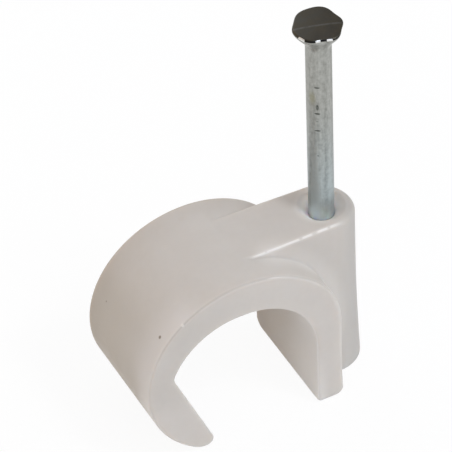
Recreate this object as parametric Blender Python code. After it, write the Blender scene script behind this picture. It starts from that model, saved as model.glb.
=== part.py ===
"""Nail-in cable clip: a moulded plastic hook with a nail boss, and its steel nail.

Frame: +Z points away from the wall, along the nail. Z = 0 is the wall face that the
leg and the boss rest on, and the hook tip ends just above it. The cable runs along Y.
The origin is the middle of the footprint. Units are metres.
"""
import math

import bmesh
import bpy

# Cable channel
cable_radius = 0.0090
cable_bite = 0.00029
leg_relief = 0.00038
leg_relief_rounding = 0.0002
body_depth = 0.0149

# Walls of the hook
crown_wall = 0.00443
crown_round = 0.00378
crown_shift = 0.00058
back_wall = 0.00249
back_arc_start = math.radians(110.15)
leg_wall = 0.00314
shoulder_arc_end = math.radians(45.9)

# Retaining lip at the open end of the hook
lip_corner_angle = math.radians(158.75)
lip_lean = math.radians(23.07)
lip_heel_length = 0.00078
lip_tip_radius = 0.00092
lip_rise = 0.00017
lip_corner_length = 0.0006

# Foot of the leg, which flares outwards and has rounded corners in front and behind
leg_foot_flare = 0.00016
leg_flare_height = 0.0042
leg_inner_radius = 0.0005
leg_outer_radius = 0.00095
leg_front_corner = 0.0006
leg_rear_corner = 0.0013

# Edges of the moulding
face_edge_radius = 0.0003
channel_edge_radius = 0.00012

# Nail
nail_radius = 0.001455
nail_length = 0.0473
nail_point_gap = 0.0005
nail_point_length = 0.0042
nail_point_flat = 0.00012
head_radius = 0.00282
head_rim = 0.00003
head_cone = 0.0026
head_dome = 0.00012

# Rounded top edge of the head, uneven and largest towards one side
head_edge = 0.0002
head_edge_change = 0.00012
head_edge_turn = math.radians(-153.0)

# Uneven outline of the forged head: lobes round it, height and turn of each wave
head_lobes = (
    (1, 0.00019, math.radians(88.0)),
    (2, 0.00009, math.radians(70.5)),
    (3, 0.00012, math.radians(-51.0)),
    (4, 0.00003, math.radians(15.0)),
    (5, 0.00005, math.radians(-6.7)),
    (6, 0.00009, math.radians(-12.0)),
)

# Bore and countersink for the nail
bore_clearance = 0.0003
bore_wall = 0.00296
countersink_margin = 0.00086
countersink_depth = 0.0012
countersink_lip = 0.0001

# Nail boss
boss_wall = 0.00193
boss_flare = 0.0003
boss_draft = math.radians(0.2)
boss_foot_flare = 0.00033
boss_flare_top = 0.0045
boss_top_drop = 0.00009
boss_edge_radius = 0.0005
boss_end_edge_radius = 0.0009
boss_foot_radius = 0.0003

# Facets
arc_step = math.radians(4.0)
edge_steps = 4
boss_segments = 40
nail_segments = 60

# Hook sizes that follow from the cable, measured from its axis
cable_axis_height = cable_radius - cable_bite
wall_z = -cable_axis_height
lip_sole_z = wall_z + lip_rise
crown_height = cable_radius + crown_wall
crown_radius = cable_radius + crown_round
leg_relief_radius = cable_radius - leg_relief_rounding
leg_inner_x = cable_radius + leg_relief
leg_outer_x = leg_inner_x + leg_wall
back_x = -(cable_radius + back_wall)

# Boss sizes that follow from the nail and the leg
bore_radius = nail_radius + bore_clearance
nail_offset = leg_inner_x + bore_wall + bore_radius
countersink_radius = bore_radius + countersink_margin
boss_end_radius = bore_radius + boss_wall
boss_root_half_width = boss_end_radius + boss_flare
boss_top_z = crown_height - boss_top_drop
boss_height = boss_top_z - wall_z


def arc(center, radius, start, end):
    """Points along an arc in the XZ profile plane, both ends included."""
    steps = max(2, int(math.ceil(abs(end - start) / arc_step)))
    points = []
    for i in range(steps + 1):
        angle = start + (end - start) * i / steps
        points.append((center[0] + radius * math.cos(angle), center[1] + radius * math.sin(angle)))
    return points


def fillet(before, corner, after, radius, steps):
    """Arc that rounds one corner between two straight directions."""
    ax, az = before[0] - corner[0], before[1] - corner[1]
    bx, bz = after[0] - corner[0], after[1] - corner[1]
    la, lb = math.hypot(ax, az), math.hypot(bx, bz)
    ax, az, bx, bz = ax / la, az / la, bx / lb, bz / lb
    half = 0.5 * math.acos(max(-1.0, min(1.0, ax * bx + az * bz)))
    radius = min(radius, 0.9 * min(la, lb) * math.tan(half))
    reach = radius / math.tan(half)
    mx, mz = ax + bx, az + bz
    lm = math.hypot(mx, mz)
    distance = radius / math.sin(half)
    cx, cz = corner[0] + mx / lm * distance, corner[1] + mz / lm * distance
    start = math.atan2(corner[1] + az * reach - cz, corner[0] + ax * reach - cx)
    end = math.atan2(corner[1] + bz * reach - cz, corner[0] + bx * reach - cx)
    turn = (end - start + math.pi) % (2.0 * math.pi) - math.pi
    points = []
    for i in range(steps + 1):
        angle = start + turn * i / steps
        points.append((cx + radius * math.cos(angle), cz + radius * math.sin(angle)))
    return points


def eased(start, corner, end, steps):
    """Parabola from one point to another that eases the corner between them."""
    points = []
    for i in range(steps + 1):
        t = i / steps
        points.append(tuple(
            (1 - t) ** 2 * start[k] + 2 * t * (1 - t) * corner[k] + t * t * end[k] for k in range(2)))
    return points


def corner_rise(distance, radius):
    """How far a rounded corner falls back at one distance in from its face."""
    if distance >= radius:
        return 0.0
    return radius - math.sqrt(max(0.0, radius * radius - (radius - distance) ** 2))


def clip_profile():
    """Hook outline in (x, z) about the cable axis, with the edge radius of each point."""
    crown = (crown_shift, crown_height - crown_radius)

    # The shoulder and the back leave the crown arc in line with it.
    shoulder_radius = (leg_outer_x - crown[0] - crown_radius * math.cos(shoulder_arc_end)) / (
        1.0 - math.cos(shoulder_arc_end))
    shoulder = (
        leg_outer_x - shoulder_radius,
        crown[1] + (crown_radius - shoulder_radius) * math.sin(shoulder_arc_end))
    back_radius = (back_x - crown[0] - crown_radius * math.cos(back_arc_start)) / (
        -1.0 - math.cos(back_arc_start))
    back = (
        crown[0] + (crown_radius - back_radius) * math.cos(back_arc_start),
        crown[1] + (crown_radius - back_radius) * math.sin(back_arc_start))

    # The lip leans in from the end of the round channel and stops just above the wall face.
    lip_top = (cable_radius * math.cos(lip_corner_angle), cable_radius * math.sin(lip_corner_angle))
    lip_foot = (lip_top[0] + (lip_top[1] - lip_sole_z) * math.tan(lip_lean), lip_sole_z)

    # The back runs off its arc in line with it and eases into the lip's sole.
    heel_turn = math.pi + math.asin((back[1] - lip_sole_z) / back_radius)
    heel_start = heel_turn - lip_heel_length / back_radius
    heel_before = (
        back[0] + back_radius * math.cos(heel_start),
        back[1] + back_radius * math.sin(heel_start))
    heel_run = (lip_sole_z - heel_before[1]) / math.cos(heel_start)
    heel = (heel_before[0] - heel_run * math.sin(heel_start), lip_sole_z)
    tip_reach = lip_tip_radius / math.tan(0.5 * (0.5 * math.pi - lip_lean))
    heel_after = (min(heel[0] + heel_run, lip_foot[0] - 1.05 * tip_reach), lip_sole_z)

    outline = []
    # The outer side of the leg curves outwards down to its foot.
    flare_x = leg_outer_x + leg_foot_flare
    outline += fillet((leg_inner_x, wall_z), (flare_x, wall_z),
                      (leg_outer_x, wall_z + 0.5 * leg_flare_height), leg_outer_radius, edge_steps)
    for i in range(2, 6):
        share = i / 6.0
        outline.append((leg_outer_x + leg_foot_flare * (1.0 - share) ** 2,
                        wall_z + leg_flare_height * share))
    outline += arc(shoulder, shoulder_radius, 0.0, shoulder_arc_end)
    outline += arc(crown, crown_radius, shoulder_arc_end, back_arc_start)[1:]
    outline += arc(back, back_radius, back_arc_start, heel_start)[1:-1]
    outline += eased(heel_before, heel, heel_after, 8)
    edges = [face_edge_radius] * len(outline)

    # Round the tip of the lip the edge sharpens towards the channel.
    tip_steps = 10
    outline += fillet(heel, lip_foot, lip_top, lip_tip_radius, tip_steps)
    edges += [face_edge_radius + (channel_edge_radius - face_edge_radius) * i / tip_steps
              for i in range(tip_steps + 1)]
    channel = arc((0.0, 0.0), cable_radius, lip_corner_angle, 0.5 * math.pi)
    corner_before = (
        lip_top[0] + lip_corner_length * math.sin(lip_lean),
        lip_top[1] - lip_corner_length * math.cos(lip_lean))
    outline += eased(corner_before, lip_top, channel[1], edge_steps)
    outline += channel[2:]
    relief = (leg_inner_x - leg_relief_radius, cable_radius - leg_relief_radius)
    outline += arc(relief, leg_relief_radius, 0.5 * math.pi, 0.0)
    outline += fillet((leg_inner_x, 0.0), (leg_inner_x, wall_z), (leg_outer_x, wall_z),
                      leg_inner_radius, edge_steps)
    edges += [channel_edge_radius] * (len(outline) - len(edges))
    return outline, edges


def inset(outline, distances):
    """Outline moved inwards, each point by its own distance, for an anticlockwise outline."""
    count = len(outline)
    moved = []
    for i in range(count):
        px, pz = outline[i - 1]
        x, z = outline[i]
        nx, nz = outline[(i + 1) % count]
        ax, az = x - px, z - pz
        bx, bz = nx - x, nz - z
        la, lb = math.hypot(ax, az), math.hypot(bx, bz)
        ax, az, bx, bz = ax / la, az / la, bx / lb, bz / lb
        mx, mz = -(az + bz), ax + bx
        lm = math.hypot(mx, mz)
        reach = distances[i] / max(0.5, 0.5 * lm)
        moved.append((x + mx / lm * reach, z + mz / lm * reach))
    return moved


def loft(name, rings):
    """Closed solid through rings of equal length, capped at both ends."""
    mesh = bpy.data.meshes.new(name)
    model = bmesh.new()
    loops = [[model.verts.new(point) for point in ring] for ring in rings]
    for lower, upper in zip(loops, loops[1:]):
        for i in range(len(lower)):
            j = (i + 1) % len(lower)
            model.faces.new((lower[i], lower[j], upper[j], upper[i]))
    model.faces.new(loops[0])
    model.faces.new(loops[-1])
    bmesh.ops.recalc_face_normals(model, faces=model.faces)
    model.to_mesh(mesh)
    model.free()
    solid = bpy.data.objects.new(name, mesh)
    bpy.context.scene.collection.objects.link(solid)
    return solid


def hook_rings():
    """Hook profile swept along the cable, with rounded face edges and leg corners."""
    outline, edges = clip_profile()
    half = 0.5 * body_depth
    rings = []
    for side, corner in ((-1.0, leg_front_corner), (1.0, leg_rear_corner)):
        # Distances in from one face, from the middle of the leg's corner out to the face.
        depths = []
        for i in range(3 * edge_steps):
            depth = corner * (1.0 - math.sin(0.5 * math.pi * i / (3 * edge_steps)))
            if depth > 1.2 * face_edge_radius:
                depths.append(depth)
        for i in range(edge_steps + 2):
            depths.append(face_edge_radius * (1.0 - math.sin(0.5 * math.pi * i / (edge_steps + 1))))
        if side < 0.0:
            depths.reverse()
        for depth in depths:
            ring = []
            for x, z in inset(outline, [corner_rise(depth, edge) for edge in edges]):
                if x > 0.0 and z < 0.0:
                    z *= (wall_z + corner_rise(depth, corner)) / wall_z
                ring.append((x, side * (half - depth), z))
            rings.append(ring)
    return rings


def boss_radius(z):
    """Radius of the boss's round end at one height, with its draft and its foot's flare."""
    flare = max(0.0, boss_flare_top - z) / (boss_flare_top - wall_z)
    return boss_end_radius + (boss_top_z - z) * math.tan(boss_draft) + boss_foot_flare * flare ** 1.6


def boss_ring(z):
    """Plan outline of the boss at one height above the cable axis."""
    root = math.hypot(boss_root_half_width, nail_offset)
    taper = math.acos(boss_end_radius / root) - math.atan2(nail_offset, boss_root_half_width)
    radius = boss_radius(z) - corner_rise(z - wall_z, boss_foot_radius)

    # The root starts inside the hook wall, half way through it.
    core = cable_radius + 0.5 * min(leg_wall, crown_wall)
    start = core if z <= 0.0 else math.sqrt(max(0.0, core * core - z * z))
    start = max(start, crown_shift)
    flank = radius - corner_rise(boss_top_z - z, boss_edge_radius)
    half_width = (flank + (nail_offset - start) * math.sin(taper)) / math.cos(taper)
    ring = [(start, half_width, z), (start, -half_width, z)]
    for i in range(boss_segments + 1):
        angle = (0.5 * math.pi - taper) * (2.0 * i / boss_segments - 1.0)
        # The top edge is rounded more towards the round end than along the flanks.
        edge = boss_edge_radius + (boss_end_edge_radius - boss_edge_radius) * math.cos(angle)
        reach = radius - corner_rise(boss_top_z - z, edge)
        ring.append((nail_offset + reach * math.cos(angle), reach * math.sin(angle), z))
    return ring


def boss_rings():
    """Boss from its foot on the wall face up to its rounded top edge."""
    core = cable_radius + 0.5 * min(leg_wall, crown_wall)
    heights = []
    for i in range(edge_steps + 1):
        angle = 0.5 * math.pi * i / edge_steps
        heights.append(wall_z + boss_foot_radius * (1.0 - math.cos(angle)))
    for i in range(1, 5):
        heights.append(wall_z * (1.0 - i / 5.0))
    for i in range(12):
        heights.append(core * math.sin(math.radians(8.0 * i)))
    for i in range(2 * edge_steps + 1):
        angle = 0.5 * math.pi * i / (2 * edge_steps)
        heights.append(boss_top_z - boss_end_edge_radius * (1.0 - math.sin(angle)))
    return [boss_ring(z) for z in heights]


def round_ring(z, radius):
    """Circle about the nail axis."""
    return [(nail_offset + radius * math.cos(2.0 * math.pi * i / nail_segments),
             radius * math.sin(2.0 * math.pi * i / nail_segments), z) for i in range(nail_segments)]


def bore_rings():
    """Cutter for the through bore, the countersink and the small lip at its rim."""
    return [
        round_ring(wall_z - 0.1 * boss_height, bore_radius),
        round_ring(boss_top_z - countersink_depth, bore_radius),
        round_ring(boss_top_z - countersink_lip, countersink_radius - 0.5 * countersink_lip),
        round_ring(boss_top_z, countersink_radius + 0.5 * countersink_lip),
        round_ring(boss_top_z + 0.1 * boss_height, countersink_radius + 0.5 * countersink_lip),
    ]


def head_outline(angle):
    """Radius of the forged head, which is struck to an uneven rounded outline."""
    radius = head_radius
    for lobes, height, turn in head_lobes:
        radius += height * math.cos(lobes * (angle - turn))
    return radius


def edge_size(angle):
    """Radius of the head's top edge at one angle about the nail axis."""
    return head_edge + head_edge_change * math.cos(angle - head_edge_turn)


def neck_ring(top, share):
    """Ring of the neck, from the round shank (share 0) out to the head's rim (share 1)."""
    # The neck leaves the shank in a hollow curve and meets the rim steeply.
    spread = 0.35 * share + 0.65 * share * share * (3.0 - 2.0 * share)
    spread = spread * share ** 0.25
    ring = []
    for i in range(nail_segments):
        angle = 2.0 * math.pi * i / nail_segments
        radius = nail_radius + (head_outline(angle) - nail_radius) * spread
        drop = (edge_size(angle) + head_rim) * share + head_cone * (1.0 - share)
        ring.append((nail_offset + radius * math.cos(angle), radius * math.sin(angle), top - drop))
    return ring


def head_ring(top, turn, share):
    """Ring of the head's rounded edge (turn 0 to a right angle) or of its top face."""
    ring = []
    for i in range(nail_segments):
        angle = 2.0 * math.pi * i / nail_segments
        edge = edge_size(angle)
        radius = (head_outline(angle) - edge * (1.0 - math.cos(turn))) * share
        height = top - edge * (1.0 - math.sin(turn)) + head_dome * (1.0 - share * share)
        ring.append((nail_offset + radius * math.cos(angle), radius * math.sin(angle), height))
    return ring


def point_ring(z, half_width):
    """Shank section cut down to a square of a given half width."""
    ring = []
    for i in range(nail_segments):
        angle = 2.0 * math.pi * i / nail_segments
        square = half_width / max(abs(math.cos(angle)), abs(math.sin(angle)))
        radius = min(nail_radius, square)
        ring.append((nail_offset + radius * math.cos(angle), radius * math.sin(angle), z))
    return ring


def nail_rings():
    """Nail from its four-sided point up to its slightly domed head."""
    tip = wall_z + nail_point_gap
    top = tip + nail_length - head_dome
    rings = []
    for i in range(7):
        share = i / 6.0
        width = nail_point_flat + (nail_radius - nail_point_flat) * share
        rings.append(point_ring(tip + nail_point_length * share, width))
    for i in range(11):
        rings.append(neck_ring(top, i / 10.0))
    for i in range(edge_steps + 1):
        rings.append(head_ring(top, 0.5 * math.pi * i / edge_steps, 1.0))
    for share in (0.75, 0.5, 0.25, 0.08):
        rings.append(head_ring(top, 0.5 * math.pi, share))
    return rings


def combine(base, other, operation):
    """Boolean of one solid with another, which stays as a hidden guide in wire."""
    other.hide_render = True
    other.display_type = "WIRE"
    modifier = base.modifiers.new(operation.lower() + "_" + other.name, "BOOLEAN")
    modifier.operation = operation
    modifier.solver = "EXACT"
    modifier.object = other
    return modifier


def settle(solid):
    """Keep the evaluated shape of a solid as its mesh and mark its sharp edges."""
    bpy.context.view_layer.update()
    graph = bpy.context.evaluated_depsgraph_get()
    shaped = bpy.data.meshes.new_from_object(solid.evaluated_get(graph))
    solid.modifiers.clear()
    solid.data = shaped
    shaped.name = solid.name
    shaped.shade_smooth()
    shaped.set_sharp_from_angle(angle=math.radians(28.0))


def surface(name, color, roughness, metallic):
    """Principled material with one colour."""
    material = bpy.data.materials.new(name)
    material.use_nodes = True
    shader = material.node_tree.nodes["Principled BSDF"]
    shader.inputs["Base Color"].default_value = (*color, 1.0)
    shader.inputs["Roughness"].default_value = roughness
    shader.inputs["Metallic"].default_value = metallic
    material.diffuse_color = (*color, 1.0)
    return material


def build():
    for item in list(bpy.data.objects):
        bpy.data.objects.remove(item, do_unlink=True)

    clip = loft("clip_body", hook_rings())
    boss = loft("boss_form", boss_rings())
    bore = loft("bore_cutter", bore_rings())
    combine(clip, boss, "UNION")
    combine(clip, bore, "DIFFERENCE")
    settle(clip)
    bpy.data.objects.remove(boss, do_unlink=True)
    bpy.data.objects.remove(bore, do_unlink=True)

    nail = loft("nail", nail_rings())
    settle(nail)

    clip.data.materials.clear()
    clip.data.materials.append(surface("clip_plastic", (0.58, 0.55, 0.51), 0.38, 0.0))
    nail.data.materials.clear()
    nail.data.materials.append(surface("nail_steel", (0.42, 0.44, 0.46), 0.36, 1.0))

    # The middle of the footprint lies half way from the back to the widest part of the boss.
    middle_x = 0.5 * (back_x + nail_offset + boss_radius(wall_z + boss_foot_radius))
    holder = bpy.data.objects.new("cable_clip", None)
    holder.location = (-middle_x, 0.0, cable_axis_height)
    bpy.context.scene.collection.objects.link(holder)
    clip.parent = holder
    nail.parent = holder
    bpy.context.view_layer.update()


build()
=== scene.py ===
"""Dressed model of a nail-in cable clip: milky moulded hook, zinc nail and studio."""
import math

import bmesh
import bpy
from bpy.props import FloatProperty, FloatVectorProperty, IntProperty, PointerProperty
from bpy.types import Operator, Panel, PropertyGroup
from mathutils import Matrix, Vector, noise


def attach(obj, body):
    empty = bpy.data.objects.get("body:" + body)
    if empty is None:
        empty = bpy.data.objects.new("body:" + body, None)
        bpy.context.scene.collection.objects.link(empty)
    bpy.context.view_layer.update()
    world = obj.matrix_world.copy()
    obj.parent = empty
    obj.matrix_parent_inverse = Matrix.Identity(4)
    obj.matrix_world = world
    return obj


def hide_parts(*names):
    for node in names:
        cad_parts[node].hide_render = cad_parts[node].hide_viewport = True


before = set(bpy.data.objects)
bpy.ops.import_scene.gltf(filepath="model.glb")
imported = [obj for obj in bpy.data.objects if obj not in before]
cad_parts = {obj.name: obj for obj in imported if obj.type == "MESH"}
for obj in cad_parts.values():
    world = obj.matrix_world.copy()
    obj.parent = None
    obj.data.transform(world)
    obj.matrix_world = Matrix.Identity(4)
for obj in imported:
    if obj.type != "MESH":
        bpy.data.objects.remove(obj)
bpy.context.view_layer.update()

bl_info = {
    "name": "Cable Clip",
    "version": (1, 0, 0),
    "blender": (4, 5, 0),
    "location": "View3D > Sidebar > Cable Clip",
    "description": "Builds a nail-in cable clip with its nail and a studio",
    "category": "Object",
}


def length(name, description, default):
    """Length property in metres."""
    return FloatProperty(name=name, description=description, default=default,
                         min=0.0, unit="LENGTH", subtype="DISTANCE", precision=5)


def turn(name, description, degrees):
    """Angle property, kept in radians."""
    return FloatProperty(name=name, description=description, default=math.radians(degrees),
                         unit="ROTATION", subtype="ANGLE")


def tint(name, description, default):
    """Linear colour property."""
    return FloatVectorProperty(name=name, description=description, default=default,
                               size=3, min=0.0, max=1.0, subtype="COLOR")


class ClipSizes(PropertyGroup):
    """Sizes of the moulded hook and boss."""
    cable_radius: length("Cable Radius", "Radius of the round channel", 0.0090)
    cable_bite: length("Cable Bite", "How far the cable axis sits below a full radius", 0.00029)
    leg_relief: length("Leg Relief", "Extra room between the cable and the leg", 0.00038)
    leg_relief_rounding: length("Leg Rounding", "How much tighter the leg side curves", 0.0002)
    body_depth: length("Depth", "Depth of the hook along the cable", 0.0149)
    crown_wall: length("Crown Wall", "Wall over the cable at the crown", 0.00443)
    crown_round: length("Crown Round", "Crown arc radius beyond the cable radius", 0.00378)
    crown_shift: length("Crown Shift", "Crown arc centre towards the boss", 0.00058)
    back_wall: length("Back Wall", "Wall at the hook's back", 0.002482)
    back_arc_start: turn("Back Start", "Angle where the back arc begins", 110.15)
    leg_wall: length("Leg Wall", "Wall of the straight leg", 0.00314)
    shoulder_arc_end: turn("Shoulder End", "Angle where the shoulder meets the crown", 45.9)
    lip_corner_angle: turn("Lip Corner", "Angle where the channel turns into the lip", 158.75)
    lip_lean: turn("Lip Lean", "Lean of the retaining lip from upright", 23.07)
    lip_heel_length: length("Heel Length", "Length of the eased heel", 0.00078)
    lip_tip_radius: length("Tip Radius", "Rounding of the lip's tip", 0.00092)
    lip_rise: length("Lip Rise", "Height of the lip's sole above the wall face", 0.00017)
    lip_corner_length: length("Corner Length", "Reach of the eased lip corner", 0.0006)
    leg_foot_flare: length("Foot Flare", "How far the leg's foot flares outwards", 0.00016)
    leg_flare_height: length("Flare Height", "Height over which the leg flares", 0.0042)
    leg_inner_radius: length("Leg Inner Edge", "Rounding of the leg's inner foot", 0.0005)
    leg_outer_radius: length("Leg Outer Edge", "Rounding of the leg's outer foot", 0.00095)
    leg_front_corner: length("Front Corner", "Rounding of the leg's front foot corner", 0.0006)
    leg_rear_corner: length("Rear Corner", "Rounding of the leg's rear foot corner", 0.0013)
    face_edge_radius: length("Face Edge", "Rounding along both faces of the hook", 0.0003)
    channel_edge_radius: length("Channel Edge", "Rounding along the channel's rims", 0.00012)
    nail_offset: length("Nail Offset", "Cable axis to nail axis", 0.014095)
    bore_radius: length("Bore Radius", "Radius of the bore, which grips the shank", 0.00148)
    countersink_radius: length("Countersink", "Radius of the countersink at its rim", 0.002615)
    countersink_depth: length("Countersink Depth", "Depth of the countersink", 0.00105)
    boss_end_radius: length("Boss Radius", "Radius of the boss's round end at its top", 0.003685)
    boss_flare: length("Boss Flare", "Extra half width where the boss leaves the crown", 0.0003)
    boss_draft: turn("Boss Draft", "Draft of the boss wall", 0.2)
    boss_foot_flare: length("Boss Foot Flare", "How far the boss flares at its foot", 0.00033)
    boss_flare_top: length("Boss Flare Top", "Height above the cable axis where the flare starts",
                           0.0045)
    boss_top_drop: length("Boss Drop", "How far the boss top lies below the crown", 0.00009)
    boss_edge_radius: length("Boss Edge", "Rounding of the boss's top edge along its flanks", 0.0005)
    boss_end_edge_radius: length("Boss End Edge", "Rounding of the top edge at the round end", 0.0009)
    boss_foot_radius: length("Boss Foot", "Rounding of the boss's foot", 0.0003)


class NailSizes(PropertyGroup):
    """Sizes of the nail."""
    shank_radius: length("Shank Radius", "Radius of the nail shank", 0.001455)
    nail_length: length("Length", "Nail length from point to head", 0.0473)
    point_gap: length("Point Height", "Height of the point above the wall face", 0.0005)
    point_length: length("Point Length", "Length of the four-sided point", 0.0042)
    point_flat: length("Point Flat", "Half width left at the point", 0.00012)
    head_radius: length("Head Radius", "Mean radius of the forged head", 0.00282)
    head_rim: length("Head Rim", "Height of the head's upright rim", 0.00003)
    head_cone: length("Head Cone", "Height of the flare under the head", 0.0026)
    head_dome: length("Head Dome", "Crown of the head's face", 0.00012)
    head_edge: length("Head Edge", "Mean rounding of the head's upper edge", 0.0002)
    head_edge_change: length("Edge Change", "How unevenly the head's edge is rounded", 0.00012)
    head_edge_turn: turn("Edge Turn", "Where round the head the edge is roundest", -153.0)
    segments: IntProperty(name="Segments", description="Facets round the shank",
                          default=120, min=24, max=240)


class Finishes(PropertyGroup):
    """Colours of the two pieces and the studio."""
    plastic: tint("Plastic", "Milky natural plastic", (0.60, 0.565, 0.525))
    plastic_shade: tint("Plastic Shade", "Duller tone in the plastic's clouds", (0.57, 0.533, 0.492))
    zinc_light: tint("Zinc Light", "Bright streaks of the zinc", (0.46, 0.465, 0.44))
    zinc_dark: tint("Zinc Dark", "Dull streaks of the zinc", (0.24, 0.245, 0.225))
    zinc_foot: tint("Zinc Foot", "Cooler zinc near the boss", (0.45, 0.52, 0.54))
    forged: tint("Forged Head", "Dark skin of the forged head", (0.076, 0.0715, 0.059))
    paper: tint("Paper", "Pale studio floor", (0.98, 0.98, 0.98))


def arc(center, radius, start, end, step=math.radians(1.5)):
    """Points along an arc in the profile plane, both ends included."""
    steps = max(2, int(math.ceil(abs(end - start) / step)))
    points = []
    for i in range(steps + 1):
        angle = start + (end - start) * i / steps
        points.append((center[0] + radius * math.cos(angle), center[1] + radius * math.sin(angle)))
    return points


def fillet(before, corner, after, radius, steps=8):
    """Arc that rounds the corner between two straight directions."""
    to_before = (Vector(before) - Vector(corner)).normalized()
    to_after = (Vector(after) - Vector(corner)).normalized()
    half = 0.5 * to_before.angle(to_after)
    center = Vector(corner) + (to_before + to_after).normalized() * radius / math.sin(half)
    first = Vector(corner) + to_before * radius / math.tan(half) - center
    last = Vector(corner) + to_after * radius / math.tan(half) - center
    start = math.atan2(first.y, first.x)
    sweep = (math.atan2(last.y, last.x) - start + math.pi) % (2 * math.pi) - math.pi
    return [(center.x + radius * math.cos(start + sweep * i / steps),
             center.y + radius * math.sin(start + sweep * i / steps)) for i in range(steps + 1)]


def eased(start, corner, end, steps=12):
    """Parabola that eases the corner between two points."""
    points = []
    for i in range(steps + 1):
        t = i / steps
        points.append(tuple((1 - t) ** 2 * start[k] + 2 * t * (1 - t) * corner[k] + t * t * end[k]
                            for k in range(2)))
    return points


def corner_rise(distance, radius):
    """How far a rounded corner falls back at one distance in from its face."""
    if distance >= radius:
        return 0.0
    return radius - math.sqrt(max(0.0, radius * radius - (radius - distance) ** 2))


def wall_height(sizes):
    """Height of the wall face, counted from the cable axis."""
    return sizes.cable_bite - sizes.cable_radius


def boss_top(sizes):
    """Height of the boss's top, counted from the cable axis."""
    return sizes.cable_radius + sizes.crown_wall - sizes.boss_top_drop


def boss_radius(sizes, z):
    """Radius of the boss's round end at one height, with its draft and foot flare."""
    wall_z = wall_height(sizes)
    top = boss_top(sizes)
    flare = max(0.0, sizes.boss_flare_top - z) / (sizes.boss_flare_top - wall_z)
    return sizes.boss_end_radius + (top - z) * math.tan(sizes.boss_draft) + (
        sizes.boss_foot_flare * flare ** 1.6)


def placed(sizes):
    """Place of the cable axis in the frame, x and z, from the sizes of the clip."""
    wall_z = wall_height(sizes)
    foot_end = sizes.nail_offset + boss_radius(sizes, wall_z + sizes.boss_foot_radius)
    back_x = -(sizes.cable_radius + sizes.back_wall)
    return -0.5 * (back_x + foot_end), -wall_z


def hook_outline(sizes):
    """Hook outline about the cable axis, anticlockwise, with the edge radius of each point."""
    wall_z = wall_height(sizes)
    sole_z = wall_z + sizes.lip_rise
    crown_radius = sizes.cable_radius + sizes.crown_round
    crown = (sizes.crown_shift, sizes.cable_radius + sizes.crown_wall - crown_radius)
    leg_in = sizes.cable_radius + sizes.leg_relief
    leg_out = leg_in + sizes.leg_wall
    back_x = -(sizes.cable_radius + sizes.back_wall)

    cos_end, cos_start = math.cos(sizes.shoulder_arc_end), math.cos(sizes.back_arc_start)
    shoulder_radius = (leg_out - crown[0] - crown_radius * cos_end) / (1.0 - cos_end)
    shoulder = (leg_out - shoulder_radius,
                crown[1] + (crown_radius - shoulder_radius) * math.sin(sizes.shoulder_arc_end))
    back_radius = (back_x - crown[0] - crown_radius * cos_start) / (-1.0 - cos_start)
    back = (crown[0] + (crown_radius - back_radius) * cos_start,
            crown[1] + (crown_radius - back_radius) * math.sin(sizes.back_arc_start))

    lip_top = (sizes.cable_radius * math.cos(sizes.lip_corner_angle),
               sizes.cable_radius * math.sin(sizes.lip_corner_angle))
    lip_foot = (lip_top[0] + (lip_top[1] - sole_z) * math.tan(sizes.lip_lean), sole_z)
    heel_start = math.pi + math.asin((back[1] - sole_z) / back_radius) - (
        sizes.lip_heel_length / back_radius)
    heel_before = (back[0] + back_radius * math.cos(heel_start),
                   back[1] + back_radius * math.sin(heel_start))
    heel_run = (sole_z - heel_before[1]) / math.cos(heel_start)
    heel = (heel_before[0] - heel_run * math.sin(heel_start), sole_z)
    tip_reach = sizes.lip_tip_radius / math.tan(0.25 * math.pi - 0.5 * sizes.lip_lean)
    heel_after = (min(heel[0] + heel_run, lip_foot[0] - 1.05 * tip_reach), sole_z)

    outline = fillet((leg_in, wall_z), (leg_out + sizes.leg_foot_flare, wall_z),
                     (leg_out, wall_z + 0.5 * sizes.leg_flare_height), sizes.leg_outer_radius, 12)
    for i in range(5, 16):
        share = i / 16.0
        outline.append((leg_out + sizes.leg_foot_flare * (1.0 - share) ** 2,
                        wall_z + sizes.leg_flare_height * share))
    outline += arc(shoulder, shoulder_radius, 0.0, sizes.shoulder_arc_end)
    outline += arc(crown, crown_radius, sizes.shoulder_arc_end, sizes.back_arc_start)[1:]
    outline += arc(back, back_radius, sizes.back_arc_start, heel_start)[1:-1]
    outline += eased(heel_before, heel, heel_after)
    edges = [sizes.face_edge_radius] * len(outline)
    outline += fillet(heel, lip_foot, lip_top, sizes.lip_tip_radius, 16)
    edges += [sizes.face_edge_radius + (sizes.channel_edge_radius - sizes.face_edge_radius) * i / 16
              for i in range(17)]
    channel = arc((0.0, 0.0), sizes.cable_radius, sizes.lip_corner_angle, 0.5 * math.pi)
    near = (lip_top[0] + sizes.lip_corner_length * math.sin(sizes.lip_lean),
            lip_top[1] - sizes.lip_corner_length * math.cos(sizes.lip_lean))
    outline += eased(near, lip_top, channel[2], 6)
    outline += channel[3:]
    relief_radius = sizes.cable_radius - sizes.leg_relief_rounding
    relief = (leg_in - relief_radius, sizes.leg_relief_rounding)
    outline += arc(relief, relief_radius, 0.5 * math.pi, 0.0)
    outline += fillet((leg_in, 0.0), (leg_in, wall_z), (leg_out, wall_z), sizes.leg_inner_radius)
    edges += [sizes.channel_edge_radius] * (len(outline) - len(edges))
    return outline, edges


def inset(outline, distances):
    """Outline moved inwards, each point by its own distance."""
    count = len(outline)
    moved = []
    for i in range(count):
        before, here, after = (Vector(outline[j % count]) for j in (i - 1, i, i + 1))
        run = (here - before).normalized() + (after - here).normalized()
        inward = Vector((-run.y, run.x)).normalized()
        moved.append(here + inward * distances[i] / max(0.5, 0.5 * run.length))
    return moved


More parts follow.
